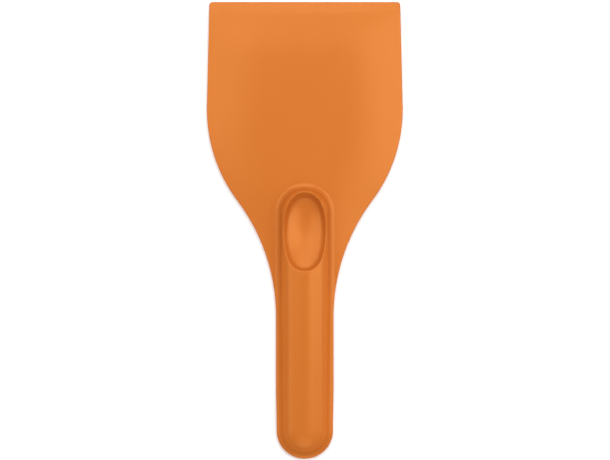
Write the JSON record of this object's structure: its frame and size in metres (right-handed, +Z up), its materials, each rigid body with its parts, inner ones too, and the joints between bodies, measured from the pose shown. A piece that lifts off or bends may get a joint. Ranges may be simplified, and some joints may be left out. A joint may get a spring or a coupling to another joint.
{
  "type": "ice scraper",
  "caption": "Hand-held plastic ice scraper with a broad crowned blade, a bevelled scraping edge and a hollow handle with a sunken thumb rest.",
  "frame": {"origin": "on the plane of the rim, under the middle of the object's length and width", "axes": "+X across the blade, +Y along the length towards the scraping edge, +Z up, out of the thumb rest"},
  "size_m": [0.096, 0.224, 0.014],
  "materials": {
    "body_plastic": "satin moulded plastic, orange"
  },
  "bodies": {
    "root": {"scraper_body": "body_plastic"}
  },
  "joints": []
}
